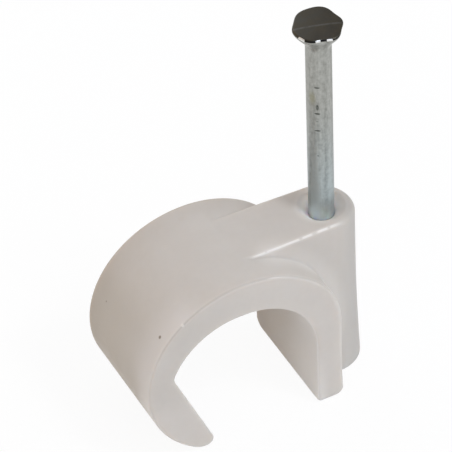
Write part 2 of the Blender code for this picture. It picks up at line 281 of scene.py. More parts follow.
def hook_rings(sizes):
    """Hook outline swept along the cable, with rounded face edges and leg corners."""
    outline, edges = hook_outline(sizes)
    wall_z = wall_height(sizes)
    half = 0.5 * sizes.body_depth
    rings = []
    for side, corner in ((-1.0, sizes.leg_front_corner), (1.0, sizes.leg_rear_corner)):
        depths = [corner * (1.0 - math.sin(0.5 * math.pi * i / 24)) for i in range(24)]
        depths = [depth for depth in depths if depth > 1.1 * sizes.face_edge_radius]
        depths += [sizes.face_edge_radius * (1.0 - math.sin(0.5 * math.pi * i / 8)) for i in range(9)]
        if side < 0.0:
            depths.reverse()
        for depth in depths:
            ring = []
            for x, z in inset(outline, [corner_rise(depth, edge) for edge in edges]):
                if x > 0.0 and z < 0.0:
                    z *= (wall_z + corner_rise(depth, corner)) / wall_z
                ring.append((x, side * (half - depth), z))
            rings.append(ring)
    return rings


def boss_ring(sizes, z, segments=72):
    """Plan outline of the boss at one height above the cable axis."""
    offset = sizes.nail_offset
    wall_z = wall_height(sizes)
    top = boss_top(sizes)
    root_half = sizes.boss_end_radius + sizes.boss_flare
    taper = math.acos(sizes.boss_end_radius / math.hypot(root_half, offset)) - (
        math.atan2(offset, root_half))
    radius = boss_radius(sizes, z) - corner_rise(z - wall_z, sizes.boss_foot_radius)
    core = sizes.cable_radius + 0.5 * min(sizes.leg_wall, sizes.crown_wall)
    start = core if z <= 0.0 else math.sqrt(max(0.0, core * core - z * z))
    start = max(start, sizes.crown_shift)
    flank = radius - corner_rise(top - z, sizes.boss_edge_radius)
    half_width = (flank + (offset - start) * math.sin(taper)) / math.cos(taper)
    ring = [(start, half_width, z), (start, -half_width, z)]
    for i in range(segments + 1):
        angle = (0.5 * math.pi - taper) * (2.0 * i / segments - 1.0)
        edge = sizes.boss_edge_radius + math.cos(angle) * (
            sizes.boss_end_edge_radius - sizes.boss_edge_radius)
        reach = radius - corner_rise(top - z, edge)
        ring.append((offset + reach * math.cos(angle), reach * math.sin(angle), z))
    return ring


def boss_rings(sizes):
    """Boss rings from the foot up to the rounded top edge."""
    wall_z = wall_height(sizes)
    top = boss_top(sizes)
    core = sizes.cable_radius + 0.5 * min(sizes.leg_wall, sizes.crown_wall)
    heights = [wall_z + sizes.boss_foot_radius * (1.0 - math.cos(0.25 * math.pi * i / 3))
               for i in range(7)]
    heights += [wall_z * (1.0 - i / 13.0) for i in range(1, 13)]
    heights += [core * math.sin(math.radians(4.0 * i)) for i in range(23)]
    heights += [top - sizes.boss_end_edge_radius * (1.0 - math.sin(0.5 * math.pi * i / 16))
                for i in range(17)]
    return [boss_ring(sizes, z) for z in heights]


def loft(rings):
    """Closed bmesh solid through rings of equal length."""
    model = bmesh.new()
    loops = [[model.verts.new(point) for point in ring] for ring in rings]
    for lower, upper in zip(loops, loops[1:]):
        for i in range(len(lower)):
            j = (i + 1) % len(lower)
            model.faces.new((lower[i], lower[j], upper[j], upper[i]))
    model.faces.new(loops[0])
    model.faces.new(loops[-1])
    bmesh.ops.recalc_face_normals(model, faces=model.faces)
    return model


def bore_cutter(sizes, segments=96):
    """Through bore and countersink, as a turned solid."""
    wall_z = wall_height(sizes)
    top = boss_top(sizes)
    rim = sizes.countersink_radius
    overrun, dish_drop, rim_spread = 0.002, 0.00008, 0.00016
    rows = [(wall_z - overrun, sizes.bore_radius), (top - sizes.countersink_depth, sizes.bore_radius)]

    # The dish bulges softly from the bore up to its rim, which eases into the top face.
    for i in range(1, 9):
        share = i / 8.0
        rows.append((top - sizes.countersink_depth * (1.0 - share) ** 1.3 - dish_drop,
                     sizes.bore_radius + (rim - sizes.bore_radius) * share))
    rows += [(top - 0.00003, rim + 0.00006), (top + 0.00002, rim + rim_spread)]
    rows += [(top + overrun, rim + rim_spread)]
    return loft([[(sizes.nail_offset + radius * math.cos(2 * math.pi * i / segments),
                   radius * math.sin(2 * math.pi * i / segments), z)
                  for i in range(segments)] for z, radius in rows])


def new_piece(name, model, shift):
    """Object from a bmesh, moved into the frame by a shift of its points."""
    bmesh.ops.translate(model, verts=model.verts, vec=shift)
    mesh = bpy.data.meshes.new(name)
    model.to_mesh(mesh)
    model.free()
    piece = bpy.data.objects.new(name, mesh)
    bpy.context.scene.collection.objects.link(piece)
    return piece


def settle(piece, angle):
    """Apply the modifiers of a piece and shade it smooth between its sharp edges."""
    bpy.context.view_layer.update()
    graph = bpy.context.evaluated_depsgraph_get()
    shaped = bpy.data.meshes.new_from_object(piece.evaluated_get(graph))
    piece.modifiers.clear()
    piece.data = shaped
    shaped.shade_smooth()
    shaped.set_sharp_from_angle(angle=math.radians(angle))


def weigh_normals(piece):
    """Let the large faces lead the shading, so that flats stay flat beside fillets."""
    modifier = piece.modifiers.new("face_weighted", "WEIGHTED_NORMAL")
    modifier.mode = "FACE_AREA"
    modifier.keep_sharp = True


class Nodes:
    """Node tree whose nodes are added by short calls."""

    def __init__(self, tree, coordinates):
        self.tree = tree
        tree.nodes.clear()
        self.where = self.add("ShaderNodeTexCoord").outputs[coordinates]

    def add(self, kind, **values):
        """New node, with its sockets filled by name."""
        return self.fill(self.tree.nodes.new(kind), **values)

    def fill(self, node, **values):
        """Fill a node's sockets by name."""
        for name, value in values.items():
            self.put(node.inputs[name.replace("_", " ")], value)
        return node

    def put(self, socket, value):
        """Link a node's output to a socket, or write a plain value there."""
        if isinstance(value, bpy.types.NodeSocket):
            self.tree.links.new(value, socket)
        elif socket.type == "RGBA" and len(value) == 3:
            socket.default_value = (*value, 1.0)
        else:
            socket.default_value = value

    def noise(self, scale, detail=2.0, roughness=0.5, vector=None):
        """Soft random pattern, 0 to 1."""
        node = self.add("ShaderNodeTexNoise", Vector=vector or self.where, Scale=scale,
                        Detail=detail, Roughness=roughness)
        return node.outputs["Fac"]

    def stretched(self, scale):
        """Place in the frame, scaled along each axis."""
        return self.add("ShaderNodeMapping", Vector=self.where, Scale=scale).outputs["Vector"]

    def place(self):
        """Place in the frame as x, y and z."""
        return tuple(self.add("ShaderNodeSeparateXYZ", Vector=self.where).outputs)

    def vector(self, operation, *values):
        """Vector maths node with its inputs filled in order."""
        node = self.add("ShaderNodeVectorMath")
        node.operation = operation
        for socket, value in zip(node.inputs, values):
            self.put(socket, value)
        return node

    def dot(self, vector, direction):
        """How much of a vector points along a direction."""
        return self.vector("DOT_PRODUCT", vector, direction).outputs["Value"]

    def along(self, direction, start=0.0):
        """Distance along a direction, from a starting value."""
        return self.calc("SUBTRACT", self.dot(self.where, direction), start)

    def facing(self, direction, normal=None):
        """1 where the surface faces the direction squarely, 0 at a right angle to it."""
        if normal is None:
            normal = self.add("ShaderNodeNewGeometry").outputs["Normal"]
        return self.dot(normal, direction)

    def off(self, value, place):
        """Distance of a value from a place, on either side of it."""
        return self.calc("ABSOLUTE", self.calc("SUBTRACT", value, place))

    def off_round(self, center_x, center_z, radius):
        """Distance from a round form that lies along Y, both outside and inside it."""
        flat = self.vector("MULTIPLY_ADD", self.where, (1.0, 0.0, 1.0), (-center_x, 0.0, -center_z))
        reach = self.vector("LENGTH", flat.outputs["Vector"])
        return self.off(reach.outputs["Value"], radius)

    def outward(self, axis_x):
        """Level direction away from the upright axis at axis_x."""
        flat = self.vector("MULTIPLY_ADD", self.where, (1.0, 1.0, 0.0), (-axis_x, 0.0, 0.0))
        return self.vector("NORMALIZE", flat.outputs["Vector"]).outputs["Vector"]

    def band(self, outward, middle, half):
        """1 at one angle round the axis, 0 beyond the band's half width, both in degrees."""
        middle, half = math.radians(middle), math.radians(half)
        toward = self.dot(outward, (math.cos(middle), math.sin(middle), 0.0))
        return self.span(toward, math.cos(half), 1.0)

    def span(self, value, low, high, to_low=0.0, to_high=1.0, smooth=True):
        """Value mapped from low and high to two results, and held beyond them."""
        node = self.add("ShaderNodeMapRange", Value=value, From_Min=low, From_Max=high,
                        To_Min=to_low, To_Max=to_high)
        node.interpolation_type = "SMOOTHSTEP" if smooth else "LINEAR"
        return node.outputs["Result"]

    def fall(self, value, low, high, full=1.0):
        """Full up to low, sinking to 0 at high."""
        return self.span(value, low, high, full, 0.0)

    def calc(self, operation, first, second=0.0):
        """Maths node on one or two values."""
        node = self.add("ShaderNodeMath")
        node.operation = operation
        self.put(node.inputs[0], first)
        self.put(node.inputs[1], second)
        return node.outputs[0]

    def times(self, first, *others):
        """Product of several values."""
        for other in others:
            first = self.calc("MULTIPLY", first, other)
        return first

    def weighted(self, first, *others):
        """Sum of values, each given with its share."""
        total = self.times(*first)
        for other in others:
            total = self.calc("ADD", total, self.times(*other))
        return total

    def mix(self, factor, first, second, blend="MIX"):
        """First colour turned towards the second by a factor."""
        node = self.add("ShaderNodeMix")
        node.data_type = "RGBA"
        node.blend_type = blend
        self.put(node.inputs[0], factor)
        self.put(node.inputs[6], first)
        self.put(node.inputs[7], second)
        return node.outputs[2]

    def near(self, point, reach, soft=0.5, upright=1.0):
        """1 close to a point, 0 beyond its reach; upright above 1 flattens the spot."""
        where = self.where if upright == 1.0 else self.stretched((1.0, 1.0, upright))
        away = self.vector("DISTANCE", where, (point[0], point[1], point[2] * upright))
        return self.fall(away.outputs["Value"], reach * soft, reach)

    def rounded(self, radius):
        """Normal of the surface as if its edges were rounded."""
        node = self.add("ShaderNodeBevel", Radius=radius)
        node.samples = 8
        return node.outputs["Normal"]

    def bump(self, value, strength, distance, below=None):
        """Normal with a fine relief, laid over the normal below it."""
        node = self.add("ShaderNodeBump", Strength=strength, Distance=distance, Height=value)
        if below is not None:
            self.put(node.inputs["Normal"], below)
        return node.outputs["Normal"]


class Shader(Nodes):
    """Principled material that follows the place in the frame."""

    def __init__(self, name):
        self.material = bpy.data.materials.new(name)
        self.material.use_nodes = True
        super().__init__(self.material.node_tree, "Object")
        self.surface = self.add("ShaderNodeBsdfPrincipled")
        self.output = self.add("ShaderNodeOutputMaterial", Surface=self.surface.outputs[0])

    def set(self, **values):
        """Fill the surface's sockets by name and hand back the material."""
        self.fill(self.surface, **values)
        return self.material


# Directions in the frame; the front is the face of the hook that the photo shows
LEFT, RIGHT, UP = (-1.0, 0.0, 0.0), (1.0, 0.0, 0.0), (0.0, 0.0, 1.0)
FRONT, REAR = (0.0, -1.0, 0.0), (0.0, 1.0, 0.0)

# Painted light and painted shade that the plastic takes on by its place, and the painted highlight on
# the boss's front edge
PAINTED_TONES = {
    "dish rim": (0.80, 0.775, 0.74), "dish": (1.0, 0.965, 0.92),
    "crown corner": (0.83, 0.785, 0.735), "leg foot": (0.65, 0.620, 0.583),
    "leg wall rear": (0.45, 0.400, 0.350), "leg wall front": (0.72, 0.695, 0.665),
    "hook rear": (0.51, 0.467, 0.408), "hook front": (0.70, 0.672, 0.65),
    "hook low": (0.40, 0.35, 0.29), "boss end": (0.42, 0.398, 0.37),
    "painted highlight": (0.93, 0.90, 0.87),
}

# Painted shade that dulls whole faces and edges of the plastic
PAINTED_SHADES = {
    "rear": (0.82, 0.80, 0.78), "front face": (0.93, 0.93, 0.925),
    "front edge": (0.84, 0.83, 0.82), "rear edge": (0.74, 0.70, 0.65),
}

# Marks on the hook's outer wall and crown: place in the frame, reach and tone
HOOK_MARKS = (
    ((-0.01232, -0.00583, 0.01748), 0.00027, (0.27, 0.23, 0.19)),
    ((-0.01029, -0.00725, 0.01951), 0.00024, (0.80, 0.76, 0.72)),
    ((-0.01377, 0.00454, 0.01502), 0.00018, (0.30, 0.26, 0.22)),
    ((-0.00379, 0.00554, 0.02204), 0.00050, (0.555, 0.515, 0.47)),
)

# Small dull dents that break the gloss and the painted highlight of the boss's front edge: place and
# reach
EDGE_DENTS = (
    ((0.00186, -0.0037, 0.0220), 0.00022), ((0.0062, -0.0036, 0.0220), 0.00034),
    ((0.00796, -0.0036, 0.0220), 0.00052), ((0.00976, -0.0036, 0.0220), 0.00032),
)

# Feed marks of the wire on the shank: height in the frame, reach, how flat and how dark
SHANK_NICKS = (
    (0.04013, 0.00040, 3.2, 0.85), (0.03756, 0.00012, 1.0, 0.8), (0.03735, 0.00022, 0.42, 0.7),
    (0.03646, 0.00042, 3.0, 1.0), (0.03534, 0.00022, 2.4, 0.55), (0.03405, 0.00042, 3.2, 0.9),
    (0.03046, 0.00016, 1.4, 0.5),
)
NICK_ANGLE = math.radians(-127.5)

# Long bands in the zinc round the axis, partly marks of the drawing die and partly painted reflection:
# angle, half width in degrees, tone
DRAWN_AND_REFLECTION_BANDS = (
    (-43.0, 14.0, -0.14), (-69.0, 12.0, 0.20), (-91.0, 9.0, -0.14), (-110.0, 15.0, 0.14),
    (-140.0, 22.0, 0.20), (-165.0, 14.0, 0.05), (20.0, 22.0, 0.10), (65.0, 16.0, -0.12),
    (110.0, 20.0, 0.12), (150.0, 14.0, -0.10),
)

# Bands of painted reflection that pale the zinc near the boss: angle, half width in degrees, strength
FOOT_REFLECTION_BANDS = ((-146.0, 27.0, 1.1), (-83.0, 16.0, 0.28))

# Olive stain on the shank: place from the nail's axis and the wall face, and reach
STAIN_PLACE = (-0.00127, -0.00071, 0.03857)
STAIN_REACH = 0.0006

# Shallow scratch over the head: direction across it and distance from the nail's axis
SCRATCH_ACROSS = (0.282, 0.959, 0.0)
SCRATCH_OFFSET = -0.000155

# Painted glints and the band of painted dark reflection on the head's rounded edge: angle and half
# width in degrees
GLINT_SPOTS = ((-118.0, 8.0), (-90.0, 9.0), (-158.0, 12.0))
DARK_REFLECTION_EDGE = (-112.0, 62.0)

# Tones of the nail's marks, and of its painted reflection, painted dark reflection and painted glints
NAIL_TONES = {
    "painted reflection above boss": (0.80, 0.86, 0.88), "stain": (0.30, 0.29, 0.19), "nick": (0.06, 0.068, 0.058),
    "brown scale": (0.085, 0.076, 0.058), "scratch": (0.15, 0.15, 0.14),
    "painted dark reflection": (0.012, 0.012, 0.013), "painted glint": (0.95, 0.95, 0.93),
}

# Front flank of the boss, the way its edge faces where the painted highlight lies, and the gloss off
# and on that edge
BOSS_FLANK_Y = -0.0038
HIGHLIGHT_FACING = (0.02, -0.72, 0.69)
PLAIN_COAT, HIGHLIGHT_COAT = 0.07, 0.75

# Below, x, y and z are places in the frame in metres, and each tone fades between two of them


def dish_painted_light(shader, color, dish):
    """Painted light that pales the shaded dish round the nail, and how clear the plastic is there."""
    color = shader.mix(shader.near(dish, 0.0036, 0.5), color, PAINTED_TONES["dish rim"])
    clear = shader.near(dish, 0.0028, 0.6)
    return shader.mix(clear, color, PAINTED_TONES["dish"]), clear


def corner_painted_light(shader, color, crown):
    """Painted light that pales the shaded corner between the crown and the boss's front flank."""
    x, y, _ = shader.place()
    corner = shader.times(shader.fall(shader.off_round(*crown), 0.0, 0.0024, 0.42),
                          shader.fall(shader.off(y, BOSS_FLANK_Y), 0.0, 0.0024),
                          shader.span(x, -0.0002, 0.0028))
    return shader.mix(corner, color, PAINTED_TONES["crown corner"])


def leg_painted_light_and_shade(shader, color, leg_x):
    """Painted light on the leg's foot, and on its inner wall painted shade at the rear and painted
    light in front.
    """
    x, y, z = shader.place()
    inside = shader.off(x, leg_x)
    foot = shader.times(shader.fall(inside, 0.0003, 0.0016), shader.fall(z, 0.0005, 0.008))
    color = shader.mix(foot, color, PAINTED_TONES["leg foot"])
    wall = shader.times(shader.fall(inside, 0.0004, 0.0016),
                        shader.span(shader.facing(LEFT), 0.3, 0.8),
                        shader.fall(z, 0.0155, 0.0185))
    rear = shader.times(wall, shader.span(y, -0.0045, 0.0056, 0.0, 0.85, False))
    color = shader.mix(rear, color, PAINTED_TONES["leg wall rear"])
    front = shader.times(wall, shader.fall(y, -0.0072, 0.0010))
    return shader.mix(front, color, PAINTED_TONES["leg wall front"])


def hook_painted_light_and_shade(shader, color, back_x):
    """Painted shade on the rear and foot of the hook's outer wall, and painted light on its front."""
    x, y, z = shader.place()
    outer = shader.span(shader.along(LEFT, -back_x), -0.0038, -0.0003)
    rear = shader.times(outer, shader.span(y, -0.0070, 0.0035, 0.0, 0.80))
    color = shader.mix(rear, color, PAINTED_TONES["hook rear"])
    front = shader.times(shader.fall(x, -0.0105, -0.0070), shader.fall(y, -0.0073, -0.0022, 0.75),
                         shader.span(z, 0.0085, 0.0150, 0.5, 1.0),
                         shader.fall(shader.facing(FRONT), 0.3, 0.8))
    color = shader.mix(front, color, PAINTED_TONES["hook front"])
    low = shader.times(shader.fall(z, 0.0080, 0.0152, 0.68), shader.span(y, -0.0068, -0.0030), outer)
    return shader.mix(low, color, PAINTED_TONES["hook low"])


def face_painted_shade_and_marks(shader, color, back_x):
    """Painted shade on the rear, on the front face and on the boss's round end, and the wall's marks.
    """
    x, y, z = shader.place()
    color = shader.mix(shader.span(y, 0.0030, 0.0080, 0.0, 0.5), color, PAINTED_SHADES["rear"], "MULTIPLY")
    boss_end = shader.span(shader.along(RIGHT, -back_x), -0.0046, -0.0010, 0.0, 0.8)
    color = shader.mix(boss_end, color, PAINTED_TONES["boss end"])
    front = shader.times(shader.fall(x, -0.0095, -0.0035, 0.8),
                         shader.span(shader.facing(FRONT), 0.3, 0.8), shader.span(z, 0.0060, 0.0100))
    color = shader.mix(front, color, PAINTED_SHADES["front face"], "MULTIPLY")
    for point, reach, mark in HOOK_MARKS:
        color = shader.mix(shader.near(point, reach), color, mark)
    return color


def edge_painted_shade(shader, color, rounded):
    """Painted shade along the rounded edges of the front and rear faces."""
    y = shader.place()[1]
    turned = shader.facing(FRONT, rounded)
    front = shader.times(shader.span(turned, 0.15, 0.6), shader.fall(turned, 0.7, 0.97),
                         shader.fall(y, -0.0072, -0.0064),
                         shader.span(shader.facing(UP, rounded), 0.15, 0.55))
    color = shader.mix(front, color, PAINTED_SHADES["front edge"], "MULTIPLY")
    turned = shader.facing(REAR, rounded)
    rear = shader.times(shader.span(turned, 0.05, 0.5), shader.fall(turned, 0.7, 0.97),
                        shader.span(y, 0.0062, 0.0070, 0.0, 0.8))
    return shader.mix(rear, color, PAINTED_SHADES["rear edge"], "MULTIPLY")


def glossy_highlight_edge(shader):
    """Painted highlight and gloss along the boss's front edge, and the dull dents that break them."""
    x = shader.place()[0]
    dents = 0.0
    for point, reach in EDGE_DENTS:
        dents = shader.calc("MAXIMUM", dents, shader.near(point, reach, 0.3))
    edge_highlight = shader.times(shader.span(shader.facing(HIGHLIGHT_FACING), 0.925, 0.985),
                        shader.span(shader.along(FRONT), 0.0031, 0.0034),
                        shader.span(x, -0.0004, 0.0010), shader.fall(x, 0.0098, 0.0119),
                        shader.calc("SUBTRACT", 1.0, dents))
    return edge_highlight, dents


def milky_plastic(colors, dish, crown, leg_x, back_x):
    """Natural moulding plastic: cloudy and satin, clearer in the dish, with painted light, painted
    shade and a painted highlight by place.
    """
    shader = Shader("milky_plastic")
    clouds = shader.noise(170.0, 3.0, 0.55)
    mottle = shader.noise(1100.0, 4.0, 0.6)
    tone = shader.span(shader.weighted((clouds, 0.6), (mottle, 0.4)), 0.25, 0.75)
    color = shader.mix(tone, colors.plastic_shade, colors.plastic)
    color, clear = dish_painted_light(shader, color, dish)
    color = corner_painted_light(shader, color, crown)
    color = leg_painted_light_and_shade(shader, color, leg_x)
    color = hook_painted_light_and_shade(shader, color, back_x)
    color = face_painted_shade_and_marks(shader, color, back_x)

    rounded = shader.rounded(0.0005)
    normal = shader.bump(shader.noise(420.0, 2.0, 0.5), 0.06, 0.00008, rounded)
    color = edge_painted_shade(shader, color, rounded)

    edge_highlight, dents = glossy_highlight_edge(shader)
    # Painted highlight: a pale line along the boss's front edge
    color = shader.mix(shader.times(edge_highlight, 0.42), color, PAINTED_TONES["painted highlight"])
    gloss = shader.bump(shader.noise(650.0, 3.0, 0.6), 0.25, 0.00006)
    gloss = shader.bump(dents, 1.0, 0.00020, gloss)
    return shader.set(
        Base_Color=color, Roughness=shader.span(mottle, 0.3, 0.7, 0.45, 0.55), IOR=1.5,
        Specular_IOR_Level=0.2, Coat_Weight=shader.span(edge_highlight, 0.0, 1.0, PLAIN_COAT, HIGHLIGHT_COAT, False),
        Coat_Roughness=0.15, Coat_IOR=1.5, Coat_Normal=gloss,
        Subsurface_Weight=shader.span(clear, 0.0, 1.0, 0.45, 1.0, False),
        Subsurface_Radius=(1.0, 0.84, 0.7), Subsurface_Scale=0.0024, Normal=normal)


def zinc_and_painted_reflection(shader, colors, tone, outward, z):
    """Drawn zinc in long bands that are partly painted reflection, cooler towards the boss with bands
    of painted reflection there, and painted reflection that pales it just above the boss.
    """
    drawn = shader.span(tone, 0.31, 0.69)
    # Bands by angle, partly die marks and partly painted reflection
    for middle, half, amount in DRAWN_AND_REFLECTION_BANDS:
        drawn = shader.calc("ADD", drawn, shader.times(shader.band(outward, middle, half), amount))
    zinc = shader.mix(drawn, colors.zinc_dark, colors.zinc_light)
    lower = shader.fall(z, 0.0240, 0.0370)
    # Painted reflection in paler bands low on the shank
    for middle, half, amount in FOOT_REFLECTION_BANDS:
        paler = shader.times(shader.band(outward, middle, half), amount, lower)
        drawn = shader.calc("ADD", drawn, paler)
    foot = shader.mix(drawn, tuple(0.6 * c for c in colors.zinc_foot), colors.zinc_foot)
    zinc = shader.mix(shader.fall(z, 0.0205, 0.0400, 0.9), zinc, foot)
    # Painted reflection that pales the zinc just above the boss
    return shader.mix(shader.fall(z, 0.0208, 0.0240, 0.55), zinc, NAIL_TONES["painted reflection above boss"])


def shank_marks(shader, zinc, radius, axis_x):
    """Zinc with its olive stain and the dark nicks of the wire feed."""
    stain = shader.near((axis_x + STAIN_PLACE[0], *STAIN_PLACE[1:]), STAIN_REACH, 0.2, 0.45)
    zinc = shader.mix(shader.times(stain, 0.6), zinc, NAIL_TONES["stain"])
    for z, reach, flat, dark in SHANK_NICKS:
        spot = (axis_x + radius * math.cos(NICK_ANGLE), radius * math.sin(NICK_ANGLE), z)
        nick = shader.times(shader.near(spot, reach, 0.5, flat), dark)
        zinc = shader.mix(nick, zinc, NAIL_TONES["nick"])
    return zinc


def forged_skin(shader, colors, scale, outward, z, top, axis_x):
    """Dark skin of the head, with a shallow scratch, and a painted dark reflection and painted glints
    on its rounded edge.
    """
    brown = shader.span(scale, 0.35, 0.65)
    skin = shader.mix(brown, colors.forged, NAIL_TONES["brown scale"])
    across = shader.along(SCRATCH_ACROSS, SCRATCH_ACROSS[0] * axis_x + SCRATCH_OFFSET)
    scratch = shader.times(shader.fall(shader.calc("ABSOLUTE", across), 0.00003, 0.00022, 0.6),
                           shader.span(scale, 0.35, 0.6))
    skin = shader.mix(scratch, skin, NAIL_TONES["scratch"])
    edge = shader.fall(z, top - 0.00012, top - 0.00001)
    # Painted dark reflection along the front of the head's edge
    dark_reflection = shader.times(edge, shader.band(outward, *DARK_REFLECTION_EDGE))
    skin = shader.mix(dark_reflection, skin, NAIL_TONES["painted dark reflection"])
    # Painted glints: bright metal spots where the glints fall on the edge
    glint_mask = 0.0
    for middle, half in GLINT_SPOTS:
        glint_mask = shader.calc("ADD", glint_mask, shader.band(outward, middle, half))
    glint_mask = shader.times(shader.calc("MINIMUM", glint_mask, 1.0), edge)
    return shader.mix(shader.span(glint_mask, 0.35, 0.6), skin, NAIL_TONES["painted glint"])


def zinc_steel(colors, sizes, axis_x):
    """Drawn wire with zinc bands that are partly painted reflection, and nicks, under a dark forged
    head with painted glints and a painted dark reflection on its edge.
    """
    shader = Shader("zinc_steel")
    streaks = shader.noise(1.0, 4.0, 0.55, shader.stretched((1500.0, 1500.0, 34.0)))
    fine = shader.noise(1.0, 3.0, 0.6, shader.stretched((3600.0, 3600.0, 900.0)))
    spots = shader.noise(2300.0, 3.0, 0.65)
    scale = shader.noise(900.0, 4.0, 0.6)
    pits = shader.noise(3200.0, 3.0, 0.6)
    tone = shader.weighted((streaks, 0.30), (fine, 0.35), (spots, 0.35))
    outward = shader.outward(axis_x)
    z = shader.place()[2]

    zinc = zinc_and_painted_reflection(shader, colors, tone, outward, z)
    zinc = shank_marks(shader, zinc, sizes.shank_radius, axis_x)
    top = sizes.point_gap + sizes.nail_length - sizes.head_dome
    skin = forged_skin(shader, colors, scale, outward, z, top, axis_x)
    rim = top - sizes.head_edge
    head = shader.span(z, rim - 0.00016, rim - 0.00002)

    drawn_rough = shader.span(tone, 0.3, 0.7, 0.36, 0.48)
    forged_rough = shader.span(scale, 0.3, 0.7, 0.34, 0.44)
    shank = shader.calc("SUBTRACT", 1.0, head)
    roughness = shader.weighted((drawn_rough, shank), (forged_rough, head))
    normal = shader.bump(fine, 0.25, 0.00002)
    normal = shader.bump(pits, 0.25, 0.00002, normal)
    normal = shader.bump(scale, 0.15, 0.00005, normal)
    return shader.set(Base_Color=shader.mix(head, zinc, skin), Metallic=1.0, Roughness=roughness,
                      Normal=normal)


# How much of the paper's look is its own even white, and the size of the floor
PAPER_GLOW = 0.92
FLOOR_SIZE = 3.0


def paper_floor(colors):
    """Pale paper that stays white behind the object and keeps its shadow."""
    shader = Shader("studio_paper")
    fiber = shader.noise(90.0, 4.0, 0.6)
    color = shader.mix(fiber, colors.paper, tuple(min(1.0, c * 1.01) for c in colors.paper))
    shader.set(Base_Color=color, Roughness=0.9, Specular_IOR_Level=0.1)
    glow = shader.add("ShaderNodeEmission", Strength=1.0)
    path = shader.add("ShaderNodeLightPath")
    seen = 0.0
    for ray in ("Is Camera Ray", "Is Glossy Ray", "Is Transmission Ray"):
        seen = shader.calc("MAXIMUM", seen, path.outputs[ray])
    blend = shader.add("ShaderNodeMixShader", Fac=shader.times(seen, PAPER_GLOW))
    shader.put(blend.inputs[1], shader.surface.outputs[0])
    shader.put(blend.inputs[2], glow.outputs[0])
    shader.fill(shader.output, Surface=blend.outputs[0])
    return shader.material


# Waves of the forged head's outline: number of lobes, height and turn in degrees
HEAD_LOBES = (
    (1, 0.000187, 87.9), (2, 0.000087, 70.5), (3, 0.000118, -51.2),
    (4, 0.000027, 15.0), (5, 0.000047, -6.7), (6, 0.000086, -11.9),
)

# Shank: depth of a nick, unevenness of the drawn wire and spacing of the rings
NICK_DEPTH = 0.00004
WIRE_UNEVENNESS = 0.000012
SHANK_ROW = 0.00022


def head_outline(sizes, angle):
    """Radius of the forged head, uneven as it was struck."""
    return sizes.head_radius + sum(height * math.cos(lobes * (angle - math.radians(phase)))
                                   for lobes, height, phase in HEAD_LOBES)


def nail_rings(sizes):
    """Rings of the nail about its own axis, from the point to the head."""
    shank = sizes.shank_radius
    angles = [2.0 * math.pi * i / sizes.segments for i in range(sizes.segments)]
    tip = sizes.point_gap
    top = tip + sizes.nail_length - sizes.head_dome
    rings = []
    for i in range(13):
        share = i / 12.0
        width = sizes.point_flat + (shank - sizes.point_flat) * share
        rings.append([(angle, min(shank, width / max(abs(math.cos(angle)), abs(math.sin(angle)))),
                       tip + sizes.point_length * share) for angle in angles])

    # The shank carries shallow nicks where the wire was fed.
    neck = top - sizes.head_cone
    start = tip + sizes.point_length
    rows = int((neck - start) / SHANK_ROW)
    for i in range(1, rows):
        z = start + (neck - start) * i / rows
        ring = []
        for angle in angles:
            radius = shank - WIRE_UNEVENNESS * (0.5 + 0.5 * noise.noise((
                math.cos(angle) * 2.0, math.sin(angle) * 2.0, z * 160.0)))
            for nick, reach, flat, _ in SHANK_NICKS:
                across = (angle - NICK_ANGLE + math.pi) % (2 * math.pi) - math.pi
                gap = math.hypot((z - nick) * flat, across * shank)
                radius -= NICK_DEPTH * max(0.0, 1.0 - gap / reach)
            ring.append((angle, radius, z))
        rings.append(ring)

    outlines = [head_outline(sizes, angle) for angle in angles]
    edges = [sizes.head_edge + sizes.head_edge_change * math.cos(angle - sizes.head_edge_turn)
             for angle in angles]
    for i in range(25):
        share = i / 24.0
        spread = (0.35 * share + 0.65 * share * share * (3.0 - 2.0 * share)) * share ** 0.25
        rings.append([(angle, shank + (outline - shank) * spread,
                       top - ((edge + sizes.head_rim) * share + sizes.head_cone * (1.0 - share)))
                      for angle, outline, edge in zip(angles, outlines, edges)])
    faces = [(0.5 * math.pi * i / 8, 1.0) for i in range(9)]
    faces += [(0.5 * math.pi, share) for share in (0.86, 0.7, 0.54, 0.38, 0.22, 0.1)]
    for bend, share in faces:
        rings.append([(angle, (outline - edge * (1.0 - math.cos(bend))) * share,
                       top - edge * (1.0 - math.sin(bend)) + sizes.head_dome * (1.0 - share * share))
                      for angle, outline, edge in zip(angles, outlines, edges)])
    return [[(radius * math.cos(angle), radius * math.sin(angle), z) for angle, radius, z in ring]
            for ring in rings]


# Soft lights round the table: turn from the front towards +X, height and half width
# in degrees, and colour
SOFTBOXES = (
    (0.0, 58.0, 34.0, (0.49, 0.55, 0.63)),
    (60.0, 58.0, 34.0, (0.42, 0.47, 0.56)),
    (180.0, 58.0, 34.0, (0.21, 0.24, 0.31)),
    (0.0, 30.0, 32.0, (0.25, 0.35, 0.51)),
    (45.0, 30.0, 32.0, (0.37, 0.52, 0.65)),
    (90.0, 30.0, 32.0, (0.30, 0.32, 0.29)),
    (180.0, 30.0, 32.0, (0.73, 0.78, 0.85)),
    (225.0, 30.0, 32.0, (0.51, 0.39, 0.29)),
    (315.0, 30.0, 32.0, (0.71, 0.65, 0.61)),
    (225.0, 5.0, 26.0, (0.29, 0.23, 0.02)),
    (34.3, 53.2, 9.0, (18.0, 18.0, 18.0)),
)
TENT_GLOW = (0.41, 0.38, 0.36)

# Share of a soft light's half width that is fully bright
SOFT_CORE = 0.15

# The photo's camera: turn, height and roll in degrees, the point it looks at from the
# cable axis, its distance, and its lens in millimetres
CAMERA_ANGLES = (26.0832, 42.1124, 2.2379)
CAMERA_TARGET = (0.005431, 0.006393, 0.008993)
CAMERA_DISTANCE = 0.48376
CAMERA_LENS = 346.45


# Fewer faces than this mean that the cuts of the moulding failed
LEAST_FACES = 500


